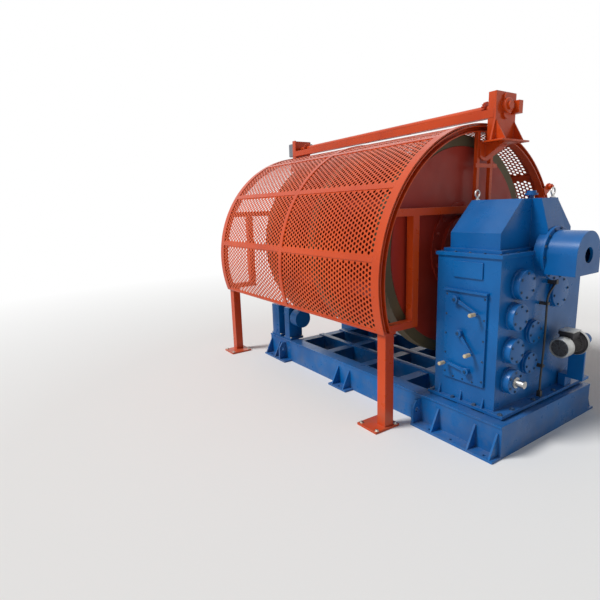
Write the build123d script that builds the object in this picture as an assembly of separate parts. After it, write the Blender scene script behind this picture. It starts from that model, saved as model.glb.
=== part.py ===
"""Rigid stranding machine: one unit with its gearbox, rotor and swinging guard.

Frame: origin on the floor under the shaft axis, at the middle of the gearbox plinth.
+X runs along the machine towards the gearbox's output end, +Y to the back, +Z up.
All sizes are in millimetres.
"""
import os
from math import atan2, cos, degrees, hypot, radians, sin, sqrt

from build123d import *

os.makedirs("parts", exist_ok=True)

# General fits
seat = 0.3
running_fit = 0.05

# Shaft axis over the floor
shaft_z = 1240.0
shaft_r = 95.0
shaft_bore_r = 50.0

# Centre of the guard hoops: behind the shaft axis and below it
guard_y = 140.0
guard_z = 1055.0
near_x = -376.0
far_x = -2862.0


def box(x0, x1, y0, y1, z0, z1):
    """A box by its corner values."""
    centre = ((x0 + x1) / 2, (y0 + y1) / 2, (z0 + z1) / 2)
    return Pos(*centre) * Box(abs(x1 - x0), abs(y1 - y0), abs(z1 - z0))


def rod_x(r, x0, x1, y, z):
    """A round bar along X."""
    return Pos((x0 + x1) / 2, y, z) * Rot(0, 90, 0) * Cylinder(r, abs(x1 - x0))


def rod_y(r, y0, y1, x, z):
    """A round bar along Y."""
    return Pos(x, (y0 + y1) / 2, z) * Rot(90, 0, 0) * Cylinder(r, abs(y1 - y0))


def rod_z(r, z0, z1, x, y):
    """A round bar along Z."""
    return Pos(x, y, (z0 + z1) / 2) * Cylinder(r, abs(z1 - z0))


def ring_x(r_out, r_in, x0, x1, y, z):
    """A round ring about an axis along X."""
    return rod_x(r_out, x0, x1, y, z) - rod_x(r_in, min(x0, x1) - 1, max(x0, x1) + 1, y, z)


def side_plane(x, y, z):
    """A plane across the machine: its own x is +Y, its own y is +Z."""
    return Plane(origin=(x, y, z), x_dir=(0, 1, 0), z_dir=(1, 0, 0))


def side_plate(points, x0, x1):
    """A flat plate across the machine from its outline in Y and Z."""
    face = side_plane(min(x0, x1), 0, 0) * make_face(Polyline(*points, close=True))
    return extrude(face, abs(x1 - x0))


def long_plate(points, y0, y1):
    """A flat plate along the machine from its outline in X and Z."""
    plane = Plane(origin=(0, y1, 0), x_dir=(1, 0, 0), z_dir=(0, -1, 0))
    face = plane * make_face(Polyline(*points, close=True))
    return extrude(face, y1 - y0)


def arc_band(r_in, r_out, a0, a1, x0, x1):
    """A bent plate about the hoop centre between two angles, counted from +Y up."""
    low, high = min(a0, a1), max(a0, a1)
    outer = CenterArc((0, 0), r_out, low, high - low)
    inner = CenterArc((0, 0), r_in, low, high - low)
    edges = [outer, inner, Line(inner @ 0, outer @ 0), Line(inner @ 1, outer @ 1)]
    face = side_plane(min(x0, x1), guard_y, guard_z) * make_face(edges)
    return extrude(face, abs(x1 - x0))


def export(name, *shapes):
    """Write one named piece, made of one or more solids."""
    solids = [solid for shape in shapes for solid in shape.solids()]
    out = solids[0] if len(solids) == 1 else Compound(children=solids)
    out.label = name
    export_step(out, f"parts/{name}.step")


# Base frame: a boxed plinth under the gearbox and two long side beams
base_y = -30.0
plinth_half_x = 330.0
web_half_y = 560.0
base_h = 220.0
foot_out = 90.0
foot_t = 16.0
top_lip = 6.0
top_lip_t = 14.0
gusset_t = 14.0
gusset_h = 151.0
gusset_out = 84.0
gusset_xs = (-150.0, 143.0, 302.0)
anchor_r = 11.0
anchor_out = 56.0
anchor_xs = (-178.0, 2.0, 254.0)
beam_w = 110.0
base_far_x = -2470.0
far_foot_len = 408.0
mid_foot_x = -1195.0
mid_foot_len = 240.0
lug_t = 20.0
lug_h = 187.0
lug_out = 84.0
lug_hole_r = 18.0
lug_hole_z = 115.0
cross_beam_w = 90.0
cross_beam_h = 130.0
cross_beam_drop = 10.0
cross_beam_xs = (-2050.0, -1560.0, -1070.0, -620.0)


def web_y(side, out=0.0):
    """Y of the base's web on one side, moved outwards."""
    return base_y + side * (web_half_y + out)


def gusset(x, side):
    """A three-cornered rib between the base's web and its foot flange."""
    y_in, y_out = web_y(side, -1), web_y(side, gusset_out)
    points = [(y_in, foot_t), (y_out, foot_t), (web_y(side, 8), foot_t + gusset_h), (y_in, foot_t + gusset_h)]
    return side_plate(points, x - gusset_t / 2, x + gusset_t / 2)


def foot(x0, x1, side, hole_xs):
    """A foot flange along the base with its anchor holes."""
    plate = box(x0, x1, web_y(side, -1), web_y(side, foot_out), 0, foot_t)
    for x in hole_xs:
        plate -= rod_z(anchor_r, -1, foot_t + 1, x, web_y(side, anchor_out))
    return plate


def lug(x, side):
    """A lifting lug on the base's web."""
    y_in, y_out = web_y(side, -1), web_y(side, lug_out)
    points = [
        (y_in, foot_t), (y_out, foot_t), (y_out, lug_hole_z + 20),
        (web_y(side, 46), lug_h), (y_in, lug_h),
    ]
    plate = side_plate(points, x - lug_t / 2, x + lug_t / 2)
    return plate - rod_x(lug_hole_r, x - lug_t, x + lug_t, web_y(side, 46), lug_hole_z)


def build_plinth():
    """The plinth with its feet, ribs and the pair of lugs at its inner end."""
    body = box(-plinth_half_x, plinth_half_x, web_y(-1), web_y(1), 0, base_h)
    for side in (-1, 1):
        body += foot(-plinth_half_x, plinth_half_x, side, anchor_xs)
        lip = (web_y(side, -1), web_y(side, top_lip))
        body += box(-plinth_half_x, plinth_half_x, *lip, base_h - top_lip_t, base_h)
        body += lug(-plinth_half_x + lug_t / 2, side)
        for x in gusset_xs:
            body += gusset(x, side)
    return body


def build_side_beam(side):
    """One long side beam with its feet, ribs, lifting lug and top lip."""
    x_end = -plinth_half_x - seat
    body = box(base_far_x, x_end, web_y(side, -beam_w), web_y(side), 0, base_h)
    body += box(base_far_x, x_end, web_y(side, -1), web_y(side, top_lip), base_h - top_lip_t, base_h)
    far_foot_end = base_far_x + far_foot_len
    body += foot(base_far_x, far_foot_end, side, (base_far_x + 100, base_far_x + 290))
    mid_foot = (mid_foot_x - mid_foot_len / 2, mid_foot_x + mid_foot_len / 2)
    body += foot(*mid_foot, side, (mid_foot_x,))
    for x in (base_far_x + 24, base_far_x + 200, mid_foot_x - 75, mid_foot_x + 75):
        body += gusset(x, side)
    return body + lug(base_far_x + 300, side)


beam_in = web_half_y - beam_w - seat
cross_beams = [
    box(
        x - cross_beam_w / 2, x + cross_beam_w / 2, base_y - beam_in, base_y + beam_in,
        base_h - cross_beam_drop - cross_beam_h, base_h - cross_beam_drop,
    )
    for x in cross_beam_xs
]
export("plinth", build_plinth())
export("base_side_beams", build_side_beam(-1), build_side_beam(1))
export("cross_beams", *cross_beams)

# Gearbox housing
pad_t = 10.0
sole_t = 22.0
sole_x0 = -305.0
sole_x1 = 284.0
sole_half_y = 525.0
case_x0 = -266.0
case_x1 = 208.0
case_half_y = 499.0
case_top = 1263.0
split_t = 24.0
split_out = 12.0
pad_xs = (-230.0, 0.0, 215.0)
pad_ys = (-485.0, -175.0, 205.0, 455.0)
pad_half_x = 60.0
pad_half_y = 35.0
boss_r = 160.0
boss_x1 = 262.0
bearing_len = 45.0
bore_relief = 6.0
sole_rib_xs = (-215.0, -40.0, 130.0)
sole_rib_h = 62.0
sole_z = base_h + pad_t + sole_t


def build_case():
    """Lower gearbox case on its sole plate, split at the top flange."""
    body = box(sole_x0, sole_x1, -sole_half_y, sole_half_y, base_h + pad_t, sole_z)
    for x in pad_xs:
        for y in pad_ys:
            body += box(x - pad_half_x, x + pad_half_x, y - pad_half_y, y + pad_half_y, base_h, base_h + pad_t)
    body += box(case_x0, case_x1, -case_half_y, case_half_y, sole_z, case_top - split_t)
    body += box(
        case_x0 - split_out, case_x1 + split_out, -case_half_y - split_out, case_half_y + split_out,
        case_top - split_t, case_top,
    )
    for side in (-1, 1):
        points = [
            (side * (case_half_y - 1), sole_z), (side * (case_half_y + 22), sole_z),
            (side * (case_half_y + 4), sole_z + sole_rib_h), (side * (case_half_y - 1), sole_z + sole_rib_h),
        ]
        for x in sole_rib_xs:
            body += side_plate(points, x - 6, x + 6)
    body += rod_x(boss_r, case_x1, boss_x1, 0, shaft_z)
    body -= rod_x(shaft_r + running_fit, case_x0 - 20, boss_x1 + 1, 0, shaft_z)
    return body - rod_x(shaft_r + bore_relief, case_x0 + bearing_len, boss_x1 - bearing_len, 0, shaft_z)


export("gearbox_body", build_case())

# Hat of the gearbox: sloped shoulders, and a bay that slopes down to the bearing boss
hat_x0 = -226.0
hat_x1 = 146.0
hat_half_y = 426.0
hat_shoulder = 1388.0
hat_top = 1595.0
hat_top_half_y = 211.0
hat_flange_t = 20.0
hat_flange_out = 30.0
bay_half_y = 100.0
bay_top_x = 206.0
bay_low_z = 1396.0
hat_z0 = case_top + seat


def build_hat():
    """Upper gearbox hat with the sloped bearing bay and room for the round boss."""
    outline = [
        (-hat_half_y, hat_z0), (-hat_half_y, hat_shoulder), (-hat_top_half_y, hat_top),
        (hat_top_half_y, hat_top), (hat_half_y, hat_shoulder), (hat_half_y, hat_z0),
    ]
    body = side_plate(outline, hat_x0, hat_x1)
    body += box(
        hat_x0 - hat_flange_out, hat_x1 + hat_flange_out, -hat_half_y - hat_flange_out,
        hat_half_y + hat_flange_out, hat_z0, hat_z0 + hat_flange_t,
    )
    bay = [
        (hat_x1 - 1, hat_z0), (hat_x1 - 1, hat_top), (bay_top_x, hat_top),
        (boss_x1, bay_low_z), (boss_x1, hat_z0),
    ]
    body += long_plate(bay, -bay_half_y, bay_half_y)
    body -= rod_x(shaft_r + bore_relief, hat_x0 - hat_flange_out - 1, case_x1, 0, shaft_z)
    return body - rod_x(boss_r + seat, case_x1 - seat, boss_x1 + 1, 0, shaft_z)


export("gearbox_hat", build_hat())

# Main bearing ring and the arch-shaped shaft end cover
main_ring_r = 176.0
main_ring_t = 20.0
cover_r = 150.0
cover_end = 471.0
cover_wall = 14.0
cover_plate_t = 18.0
cover_drop = 122.0
ring_x0 = boss_x1 + seat
cover_x0 = ring_x0 + main_ring_t + seat


def arch(r, drop, x0, x1):
    """A block with a round top and straight sides down to a flat bottom."""
    edges = [
        CenterArc((0, 0), r, 0, 180), Line((-r, 0), (-r, -drop)),
        Line((-r, -drop), (r, -drop)), Line((r, -drop), (r, 0)),
    ]
    return extrude(side_plane(x0, 0, shaft_z) * make_face(edges), x1 - x0)


cover = arch(cover_r, cover_drop, cover_x0, cover_end)
cover -= arch(cover_r - cover_wall, cover_drop - cover_wall, cover_x0 - 1, cover_end - cover_plate_t)
cover -= rod_x(shaft_bore_r, cover_end - cover_plate_t - 1, cover_end + 1, 0, shaft_z)
export("shaft_end_cover", cover)

# Bearing covers on the gearbox face: y, z, radius, how far they stand out
bearing_covers = (
    (-296.0, 1061.0, 100.0, 57.0),
    (-347.0, 862.0, 92.0, 57.0),
    (-364.0, 641.0, 88.0, 57.0),
    (-364.0, 436.0, 86.0, 57.0),
    (171.0, 958.0, 110.0, 32.0),
    (-116.0, 722.0, 84.0, 32.0),
    (-142.0, 509.0, 80.0, 32.0),
)
cover_rim_t = 16.0
cover_neck = 0.86
stub_r = 24.0
stub_len = 62.0


def bearing_cover(y, z, r, out):
    """A turned cover: a flange on the face and a slightly smaller raised lid."""
    x0 = case_x1 + seat
    body = rod_x(r, x0, x0 + cover_rim_t, y, z)
    return body + rod_x(r * cover_neck, x0, case_x1 + out, y, z)


main_ring = ring_x(main_ring_r, shaft_r + bore_relief, ring_x0, ring_x0 + main_ring_t, 0, shaft_z)
export("bearing_covers", main_ring, *[bearing_cover(*spec) for spec in bearing_covers])
drive_y, drive_z, drive_r, drive_out = bearing_covers[3]
stub_x0 = case_x1 + drive_out + seat
stub = rod_x(stub_r, stub_x0, stub_x0 + stub_len, drive_y, drive_z)
export("drive_stub_shaft", stub + rod_x(stub_r + 12, stub_x0, stub_x0 + 8, drive_y, drive_z))

# Side cover and blank plate on the front of the gearbox
panel_y = -case_half_y - seat
panel_t = 16.0
panel = (-184.0, 132.0, 392.0, 1006.0)
panel_lip_t = 14.0
blank = (-131.0, 87.0, 1101.0, 1207.0)
blank_t = 10.0
side_cover = box(panel[0], panel[1], panel_y - panel_t, panel_y, panel[2], panel[3])
lip_y = panel_y - panel_t - panel_lip_t
side_cover += box(panel[0] - 6, panel[1] + 6, lip_y, panel_y, panel[3], panel[3] + panel_lip_t)
export("side_cover", side_cover)
export("blank_plate", box(blank[0], blank[1], panel_y - blank_t, panel_y, blank[2], blank[3]))

# Gear levers: where the hub sits and where the arm ends, in X and Z
lever_specs = {
    "top": ((-87.0, 955.0), (76.0, 882.0)),
    "middle": ((-51.0, 730.0), (52.0, 608.0)),
    "low": ((16.0, 479.0), (-146.0, 505.0)),
}
hub_r = 20.0
hub_len = 26.0
arm_t = 10.0
arm_half_w = 8.0
knob_r = 13.0
knob_len = 55.0
knob_neck_r = 6.0
knob_neck = 14.0
lever_y = panel_y - panel_t - seat


def build_lever(hub_at, end_at):
    """A hub with a flat arm that tapers towards the knob."""
    (hx, hz), (ex, ez) = hub_at, end_at
    length = hypot(ex - hx, ez - hz)
    nx, nz = -(ez - hz) / length, (ex - hx) / length
    outline = [
        (hx + nx * arm_half_w * 1.5, hz + nz * arm_half_w * 1.5), (ex + nx * arm_half_w, ez + nz * arm_half_w),
        (ex - nx * arm_half_w, ez - nz * arm_half_w), (hx - nx * arm_half_w * 1.5, hz - nz * arm_half_w * 1.5),
    ]
    front = lever_y - hub_len
    body = rod_y(hub_r, front, lever_y, hx, hz) + long_plate(outline, front, front + arm_t)
    body += rod_y(arm_half_w + 2, front, front + arm_t, ex, ez)
    return body + rod_y(knob_neck_r, front - knob_neck, front, ex, ez)


for name, (hub_at, end_at) in lever_specs.items():
    knob_y1 = lever_y - hub_len - knob_neck - seat
    knob = fillet(rod_y(knob_r, knob_y1 - knob_len, knob_y1, *end_at).edges(), 5)
    export(f"{name}_lever", build_lever(hub_at, end_at))
    export(f"{name}_lever_knob", knob)

# Top fittings
eye_r = 24.0
eye_bar_r = 5.5
eye_spots = ((-200.0, -188.0), (125.0, 188.0))
breather_at = (80.0, 0.0)
eyebolts = []
for x, y in eye_spots:
    z0 = hat_top + seat
    eye = Pos(x, y, z0 + 42) * Rot(0, 90, 35) * Torus(eye_r, eye_bar_r)
    eye += rod_z(18, z0, z0 + 6, x, y) + rod_z(10, z0, z0 + 22, x, y)
    eyebolts.append(eye)
export("eyebolts", *eyebolts)
z0 = hat_top + seat
breather = rod_z(18, z0, z0 + 20, *breather_at) + rod_z(40, z0 + 20, z0 + 34, *breather_at)
export("breather", breather + rod_z(30, z0 + 34, z0 + 50, *breather_at))

# Oil pump set on the right of the gearbox face
motor_x = 330.0
motor_z = 602.0
motor_y0 = 20.0
motor_y1 = 250.0
motor_r = 60.0
fan_cover_r = 70.0
motor_feet_z = 345.0


def build_motor():
    """The pump's motor with its fan cover, end shield and terminal box."""
    body = rod_y(motor_r, motor_y0 + 60, motor_y1, motor_x, motor_z)
    body += rod_y(fan_cover_r, motor_y0, motor_y0 + 72, motor_x, motor_z)
    body += rod_y(88, motor_y1 - 14, motor_y1 + 12, motor_x, motor_z)
    body += rod_y(66, motor_y1 - 40, motor_y1, motor_x, motor_z)
    top = motor_z + motor_r - 12
    body += box(motor_x - 50, motor_x + 40, motor_y0 + 92, motor_y0 + 190, top, top + 48)
    return body + box(motor_x - 56, motor_x + 46, motor_y0 + 86, motor_y0 + 196, top + 48, top + 58)


def build_pump():
    """Pump, valve block and the bracket that carries them on the sole plate."""
    y0 = motor_y1 + 12 + seat
    body = rod_y(58, y0, y0 + 60, motor_x, motor_z) + rod_y(40, y0 + 60, y0 + 130, motor_x, motor_z)
    body += box(case_x1 + 76, motor_x + 60, y0, y0 + 16, motor_feet_z, motor_z)
    body += box(sole_x1 - 60, motor_x + 60, y0, y0 + 90, motor_feet_z - 20, motor_feet_z)
    body += box(sole_x1 - 60, sole_x1 - 10, y0, y0 + 90, sole_z + seat, motor_feet_z)
    return body + rod_z(22, motor_feet_z, motor_feet_z + 70, motor_x, y0 + 56)


export("oil_pump_motor", build_motor())
export("oil_pump", build_pump())

# Lubrication hose down the gearbox face, held by two clips
hose_r = 7.0
hose_x = case_x1 + 46.0
hose_points = ((48.0, 1022.0), (-30.0, 960.0), (-24.0, 640.0), (-40.0, 380.0), (-40.0, 292.0))
hose_clip_zs = (905.0, 470.0)
fitting_r = 13.0
hose_bends = []
for (y0, z0), (y1, z1), (y2, z2) in zip(hose_points, hose_points[1:], hose_points[2:]):
    turn = abs(atan2(z2 - z1, y2 - y1) - atan2(z1 - z0, y1 - y0))
    shorter = min(hypot(y1 - y0, z1 - z0), hypot(y2 - y1, z2 - z1))
    hose_bends.append(0.45 * shorter / max(sin(turn / 2) / cos(turn / 2), 0.05))
print("hose bend radii", [round(r, 1) for r in hose_bends])
hose_path = FilletPolyline(*[(hose_x, y, z) for y, z in hose_points], radius=hose_bends)
hose_section = Plane(origin=hose_path @ 0, z_dir=hose_path % 0) * Circle(hose_r)
hose = sweep(hose_section, path=hose_path)
print("hose volume over section times length", round(hose.volume / (hose_section.area * hose_path.length), 4))
export("lubrication_hose", hose)


def hose_y_at(z):
    """Y of the hose's middle line at a height on its straight runs."""
    for (y0, z0), (y1, z1) in zip(hose_points, hose_points[1:]):
        if z1 <= z <= z0:
            return y0 + (y1 - y0) * (z0 - z) / (z0 - z1)
    return hose_points[-1][0]


fittings = []
for z in hose_clip_zs:
    y = hose_y_at(z)
    clip = box(case_x1 + seat, hose_x + hose_r + 5, y - 14, y + 14, z - 9, z + 9)
    slot_r = hose_r + seat
    fittings.append(clip - box(hose_x - slot_r, hose_x + slot_r, y - slot_r - 1, y + slot_r + 1, z - 10, z + 10))
top_y, top_z = hose_points[0]
low_y, low_z = hose_points[-1]
elbow = box(case_x1 + seat, hose_x + fitting_r, top_y - 2, top_y + 26, top_z + 4, top_z + 34)
fittings.append(elbow)
fittings.append(box(hose_x - fitting_r, hose_x + fitting_r, low_y - fitting_r, low_y + fitting_r, sole_z + seat, low_z))
export("hose_fittings", *fittings)

# Rotor: a hollow shaft with three discs, their rims and tie beams
shaft_x0 = -2350.0
shaft_x1 = 300.0
disc_x = (-463.0, -1250.0, -2040.0)
disc_t = 24.0
disc_r = 755.0
rim_r = 835.0
rim_w = 95.0
rim_back = 5.0
hub_r_out = 350.0
hub_t = 16.0
hub_step_r = 250.0
tie_count = 6
tie_pitch_r = 640.0
tie_w = 60.0
tie_h = 120.0
export("main_shaft", ring_x(shaft_r, 55, shaft_x0, shaft_x1, 0, shaft_z))
export("rotor_discs", *[ring_x(disc_r - seat, shaft_r + seat, x - disc_t, x, 0, shaft_z) for x in disc_x])
rim_fronts = (disc_x[0] - rim_back, disc_x[1] - rim_back, disc_x[2] - disc_t + rim_back + rim_w)
export("rotor_rims", *[ring_x(rim_r, disc_r, x - rim_w, x, 0, shaft_z) for x in rim_fronts])
hub_x0 = disc_x[0] + seat
hub = ring_x(hub_r_out, shaft_r + seat, hub_x0, hub_x0 + hub_t, 0, shaft_z)
export("hub_flange", hub + ring_x(hub_step_r, shaft_r + seat, hub_x0, hub_x0 + hub_t + 30, 0, shaft_z))
ties = []
for i in range(tie_count):
    angle = 30 + 360 / tie_count * i
    y = tie_pitch_r * cos(radians(angle))
    z = shaft_z + tie_pitch_r * sin(radians(angle))
    for x1, x0 in zip(disc_x, disc_x[1:]):
        start, end = x0 + seat, x1 - disc_t - seat
        section = side_plane(start, y, z) * (Rot(0, 0, angle) * Rectangle(tie_w, tie_h))
        ties.append(extrude(section, end - start))
export("rotor_tie_beams", *ties)

# Support rollers under the far rim, each on a box stand and a bearing stand
roller_r = 90.0
roller_y = 500.0
roller_w = 109.0
axle_r = 25.0
box_stand = (-2440.0, -2300.0)
bearing_stand = (-2190.0, -2100.0)
stand_half_y = 80.0
stand_head_r = 55.0
stand_foot_h = 22.0
stand_foot_out = 20.0
roller_z = shaft_z - sqrt((rim_r + roller_r + seat) ** 2 - roller_y**2)
roller_x0 = rim_fronts[2] - rim_w - 7
roller_x1 = roller_x0 + roller_w


def build_stand(x0, x1, y):
    """A bearing stand: a foot, tapering sides and a round head about the axle."""
    z0 = base_h
    outline = [
        (y - stand_half_y, z0), (y + stand_half_y, z0), (y + stand_half_y, z0 + stand_foot_h),
        (y + stand_head_r, roller_z), (y - stand_head_r, roller_z), (y - stand_half_y, z0 + stand_foot_h),
    ]
    body = side_plate(outline, x0, x1)
    body += box(x0 - stand_foot_out, x1 + stand_foot_out, y - stand_half_y, y + stand_half_y, z0, z0 + stand_foot_h)
    body += rod_x(stand_head_r, x0, x1, y, roller_z)
    return body - rod_x(axle_r + running_fit, x0 - 30, x1 + 30, y, roller_z)


stands = []
for side, name in ((-1, "front"), (1, "back")):
    y = side * roller_y
    roller = rod_x(roller_r, roller_x0, roller_x1, y, roller_z)
    roller += rod_x(axle_r, box_stand[0] + 10, roller_x0, y, roller_z)
    export(f"{name}_roller", roller)
    stands += [build_stand(*box_stand, y), build_stand(*bearing_stand, y)]
export("roller_stands", *stands)

# Fixed hoops: channel section, open towards the machine's ends
hoop_in = 1036.0
hoop_out = 1080.0
hoop_w = 60.0
hoop_t = 8.0
post_plate_t = 16.0
post_top = 700.0
hoop_foot_z = post_top + post_plate_t + seat
hoop_span = (-30.0, 210.0)
ends = ((near_x, -1), (far_x, 1))


def build_hoop(x_open, inward):
    """One hoop, cut level where it stands on its posts."""
    x_web = x_open + inward * hoop_w
    body = arc_band(hoop_out - hoop_t, hoop_out, *hoop_span, x_open, x_web)
    body += arc_band(hoop_in, hoop_in + hoop_t, *hoop_span, x_open, x_web)
    body += arc_band(hoop_in, hoop_out, *hoop_span, x_web - inward * hoop_t, x_web)
    return body - box(far_x - 100, near_x + 100, -1300, 1500, 0, hoop_foot_z)


export("guard_hoops", *[build_hoop(*end) for end in ends])

# Guard posts under the hoop ends
post_w = 80.0
post_off_y = 977.0
post_off_x = 52.0
post_foot_t = 16.0
foot_reach_out = 144.0
foot_reach_in = 88.0
foot_reach_far = 143.0
foot_reach_near = 55.0
post_hole_r = 9.0
cap_out = 1025.0
cap_in = 930.0


def build_post(x_open, inward, side):
    """A square post with its foot plate and the cap plate under the hoop."""
    x = x_open + inward * post_off_x
    y = guard_y + side * post_off_y
    body = box(x - post_w / 2, x + post_w / 2, y - post_w / 2, y + post_w / 2, post_foot_t - 1, post_top)
    foot_x = (x + inward * foot_reach_far, x - inward * foot_reach_near)
    foot_y = (y + side * foot_reach_out, y - side * foot_reach_in)
    body += box(*foot_x, *foot_y, 0, post_foot_t)
    for hole_x in (foot_x[0] - inward * 22, foot_x[1] + inward * 16):
        for hole_y in (foot_y[0] - side * 24, foot_y[1] + side * 24):
            body -= rod_z(post_hole_r, -1, post_foot_t + 1, hole_x, hole_y)
    cap_y = (guard_y + side * cap_out, guard_y + side * cap_in)
    return body + box(x_open, x_open + inward * (post_off_x + post_w / 2), *cap_y, post_top, post_top + post_plate_t)


export("guard_posts", *[build_post(*end, side) for end in ends for side in (-1, 1)])

# Back shell, fixed between the hoops, with two ribs along it
shell_t = 3.0
shell_low = -18.0
shell_high = 85.0
rib_t = 5.0
rib_half_angle = 1.3
shell_x = (far_x + hoop_w + seat, near_x - hoop_w - seat)
export("back_shell", arc_band(hoop_out - shell_t, hoop_out, shell_low, shell_high, *shell_x))
rib_in = hoop_out - shell_t - seat - rib_t
ribs = [
    arc_band(rib_in, rib_in + rib_t, a - rib_half_angle, a + rib_half_angle, *shell_x)
    for a in (16.0, 42.0, 66.0)
]
export("back_shell_ribs", *ribs)

# Moving front guard: four sheets on bands, a middle rib and seam bars
guard_gap = 9.0
guard_bar_t = 5.0
guard_high = 88.0
guard_low = 198.5
panel_count = 4
sheet_gap = 3.0
band_w = 74.0
rib_w = 50.0
seam_w = 60.0
bar_in = hoop_out + guard_gap
sheet_in = bar_in + guard_bar_t + seat
panel_angle = (guard_low - guard_high) / panel_count
sheet_gap_angle = degrees(sheet_gap / sheet_in)
sheets = []
for i in range(panel_count):
    a0 = guard_high + i * panel_angle
    a1 = a0 + panel_angle - sheet_gap_angle
    sheets.append(arc_band(sheet_in, sheet_in + shell_t, a0, a1, far_x, near_x))
export("guard_sheets", *sheets)
mid_x = -1600.0
band_spans = ((near_x - band_w, near_x), (mid_x - rib_w, mid_x), (far_x, far_x + band_w))
bands = [arc_band(bar_in, bar_in + guard_bar_t, guard_high, guard_low, *span) for span in band_spans]
export("guard_bands", *bands)
seam_half = degrees(seam_w / 2 / bar_in)
bay_spans = ((far_x + band_w + seat, mid_x - rib_w - seat), (mid_x + seat, near_x - band_w - seat))
seam_bars = []
for i in range(panel_count + 1):
    middle = guard_high + i * panel_angle
    a0 = max(middle - seam_half, guard_high)
    a1 = min(middle + seam_half, guard_low)
    for span in bay_spans:
        seam_bars.append(arc_band(bar_in, bar_in + guard_bar_t, a0, a1, *span))
export("guard_seam_bars", *seam_bars)
shoe_half = degrees(20 / bar_in)
shoes = []
for a in (guard_high + 2, 129.0, 157.0, guard_low - 3):
    for x0, x1 in ((near_x - 50, near_x - 10), (far_x + 10, far_x + 50)):
        shoes.append(arc_band(hoop_out + seat, bar_in - seat, a - shoe_half, a + shoe_half, x0, x1))
export("guard_guide_shoes", *shoes)

# End frames inside the hoops
tube = 60.0
upright_y = 740.0
cross_tube = (1503.0, 1555.0)
foot_rail = (hoop_foot_z, hoop_foot_z + 50)
hanger_t = 30.0
hanger_ys = (58.0, 222.0)
switch_bar_z = 1850.0


def build_end_frame(x_open, inward):
    """Uprights, cross tube, foot rails and hangers, cut to the hoop's inner curve."""
    x0, x1 = x_open, x_open + inward * tube
    reach = hoop_in + 20
    body = box(x0, x1, guard_y - reach, guard_y + reach, *cross_tube)
    for side in (-1, 1):
        y_post = guard_y + side * upright_y
        body += box(x0, x1, y_post - tube / 2, y_post + tube / 2, foot_rail[0], cross_tube[0])
        body += box(x0, x1, y_post, guard_y + side * reach, *foot_rail)
    for y in hanger_ys:
        top = guard_z + reach
        body += box(x0, x_open + inward * hanger_t, y - hanger_t / 2, y + hanger_t / 2, cross_tube[1], top)
    bar_x = (x0, x_open + inward * 12)
    body += box(*bar_x, hanger_ys[0] - 30, hanger_ys[1] + 70, switch_bar_z - 15, switch_bar_z + 15)
    return body & rod_x(hoop_in - seat, far_x - 10, near_x + 10, guard_y, guard_z)


export("end_frames", *[build_end_frame(*end) for end in ends])

# Crown shelves and pedestals over the hoops, with the lift shaft's bearings
lift_y = 220.0
lift_z = 2262.0
lift_r = 30.0
shelf_y = (-100.0, 438.0)
shelf_low = 1890.0
shelf_top = 2020.0
shelf_t = 12.0
shelf_reach = 106.0
pedestal_top = 2357.0
pedestal_half_top = 123.5
pedestal_half_low = 180.0
pedestal_t = 14.0
pedestal_set_in = 12.0
rib_h = 150.0
bearing_r = 62.0
bearing_out = 34.0


def build_pedestal(x_open, outward):
    """A shelf bracket on the hoop, and the pedestal plate with its bearing."""
    x0 = x_open + outward * seat
    x1 = x_open + outward * shelf_reach
    body = box(x0, x1, *shelf_y, shelf_top - shelf_t, shelf_top)
    body += box(x0, x0 + outward * shelf_t, *shelf_y, shelf_low, shelf_top)
    bracket = [(x0, shelf_low + 10), (x0, shelf_top - 1), (x1, shelf_top - 1), (x1, shelf_top - 22)]
    for y in (shelf_y[0] + 40, (shelf_y[0] + shelf_y[1]) / 2, shelf_y[1] - 40):
        body += long_plate(bracket, y - 6, y + 6)
    xp = x1 - outward * pedestal_set_in
    outline = [
        (lift_y - pedestal_half_low, shelf_top - 1), (lift_y + pedestal_half_low, shelf_top - 1),
        (lift_y + pedestal_half_top, 2120), (lift_y + pedestal_half_top, pedestal_top - 60),
        (lift_y + 60, pedestal_top - 10), (lift_y - 20, pedestal_top - 18), (lift_y - pedestal_half_top, pedestal_top),
        (lift_y - pedestal_half_top, 2120),
    ]
    body += side_plate(outline, xp - outward * pedestal_t, xp)
    rib = [(x0 + outward * 4, shelf_top - 1), (xp - outward, shelf_top - 1), (xp - outward, shelf_top + rib_h)]
    for y in (lift_y - pedestal_half_low + 12, lift_y + pedestal_half_low - 12):
        body += long_plate(rib, y - 6, y + 6)
    body += rod_x(bearing_r, xp - outward, xp + outward * bearing_out, lift_y, lift_z)
    return body - rod_x(lift_r + running_fit, x_open - 200, x_open + 200, lift_y, lift_z)


export("lift_pedestals", *[build_pedestal(x_open, -inward) for x_open, inward in ends])

plate_back_near = near_x + shelf_reach - pedestal_set_in - pedestal_t
plate_back_far = far_x - shelf_reach + pedestal_set_in + pedestal_t
beam_y = (100.0, 155.0)
beam_z = (2180.0, 2238.0)
export("top_beam", box(plate_back_far + seat, plate_back_near - seat, *beam_y, *beam_z))

# Lift shaft with its toothed wheels
wheel_r = 60.0
tooth_h = 9.0
tooth_count = 18
wheel_w = 22.0
wheel_gap = 50.0


def toothed_wheel(x):
    """A wheel with straight-sided teeth."""
    step = 360 / tooth_count
    points = []
    for i in range(tooth_count):
        for part, r in ((-0.3, wheel_r - tooth_h), (-0.16, wheel_r), (0.16, wheel_r), (0.3, wheel_r - tooth_h)):
            a = radians((i + part) * step)
            points.append((lift_y + r * cos(a), lift_z + r * sin(a)))
    return side_plate(points, x, x + wheel_w)


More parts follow.
